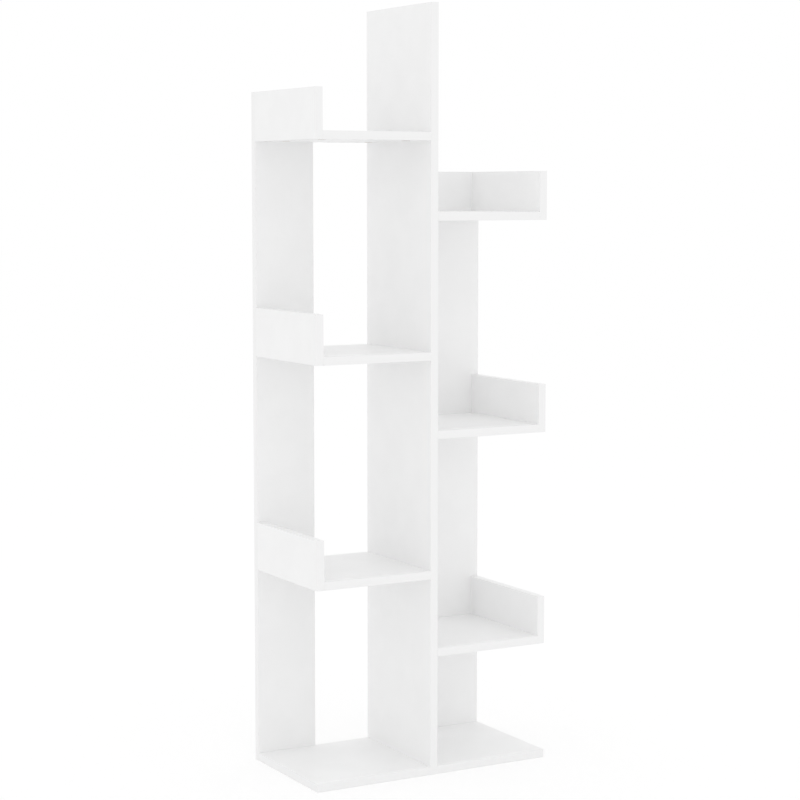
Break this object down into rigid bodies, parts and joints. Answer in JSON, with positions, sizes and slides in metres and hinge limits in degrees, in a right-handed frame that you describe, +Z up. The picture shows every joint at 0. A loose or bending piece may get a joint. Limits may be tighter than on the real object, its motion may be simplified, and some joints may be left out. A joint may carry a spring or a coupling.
{
  "type": "tree bookcase",
  "caption": "White bookcase shaped like a tree: staggered shelves with side lips branch left and right from a centre panel on a flat base, held by narrow back panels.",
  "frame": {"origin": "on the floor under the middle of the bookcase's width and depth", "axes": "+Z up, +Y from the open front to the wall, +X to the right as seen from the front"},
  "size_m": [0.48, 0.255, 1.4],
  "materials": {
    "white_melamine": "satin white melamine on chipboard",
    "white_edging": "satin white plastic edging",
    "beech": "bare beech",
    "zinc_plated_steel": "bright zinc plate",
    "cast_zinc": "dull cast zinc",
    "bracket_steel": "zinc plate on pressed steel"
  },
  "bodies": {
    "root": {"base_board": "white_melamine", "base_board_edging": "white_edging", "centre_panel": "white_melamine", "centre_panel_edging": "white_edging", "left_back_panel": "white_melamine", "left_back_panel_edging": "white_edging", "right_back_panel": "white_melamine", "right_back_panel_edging": "white_edging", "left_lower_shelf": "white_melamine", "left_lower_shelf_edging": "white_edging", "left_lower_lip": "white_melamine", "left_lower_lip_edging": "white_edging", "left_middle_shelf": "white_melamine", "left_middle_shelf_edging": "white_edging", "left_middle_lip": "white_melamine", "left_middle_lip_edging": "white_edging", "left_upper_shelf": "white_melamine", "left_upper_shelf_edging": "white_edging", "left_upper_lip": "white_melamine", "left_upper_lip_edging": "white_edging", "right_lower_shelf": "white_melamine", "right_lower_shelf_edging": "white_edging", "right_lower_lip": "white_melamine", "right_lower_lip_edging": "white_edging", "right_middle_shelf": "white_melamine", "right_middle_shelf_edging": "white_edging", "right_middle_lip": "white_melamine", "right_middle_lip_edging": "white_edging", "right_upper_shelf": "white_melamine", "right_upper_shelf_edging": "white_edging", "right_upper_lip": "white_melamine", "right_upper_lip_edging": "white_edging", "left_dowels": "beech", "left_cam_bolts": "zinc_plated_steel", "left_cam_locks": "cast_zinc", "left_back_panel_screws": "zinc_plated_steel", "right_dowels": "beech", "right_cam_bolts": "zinc_plated_steel", "right_cam_locks": "cast_zinc", "right_back_panel_screws": "zinc_plated_steel", "centre_panel_dowels": "beech", "centre_panel_screws": "zinc_plated_steel", "wall_bracket": "bracket_steel", "wall_bracket_screws": "zinc_plated_steel"}
  },
  "joints": []
}
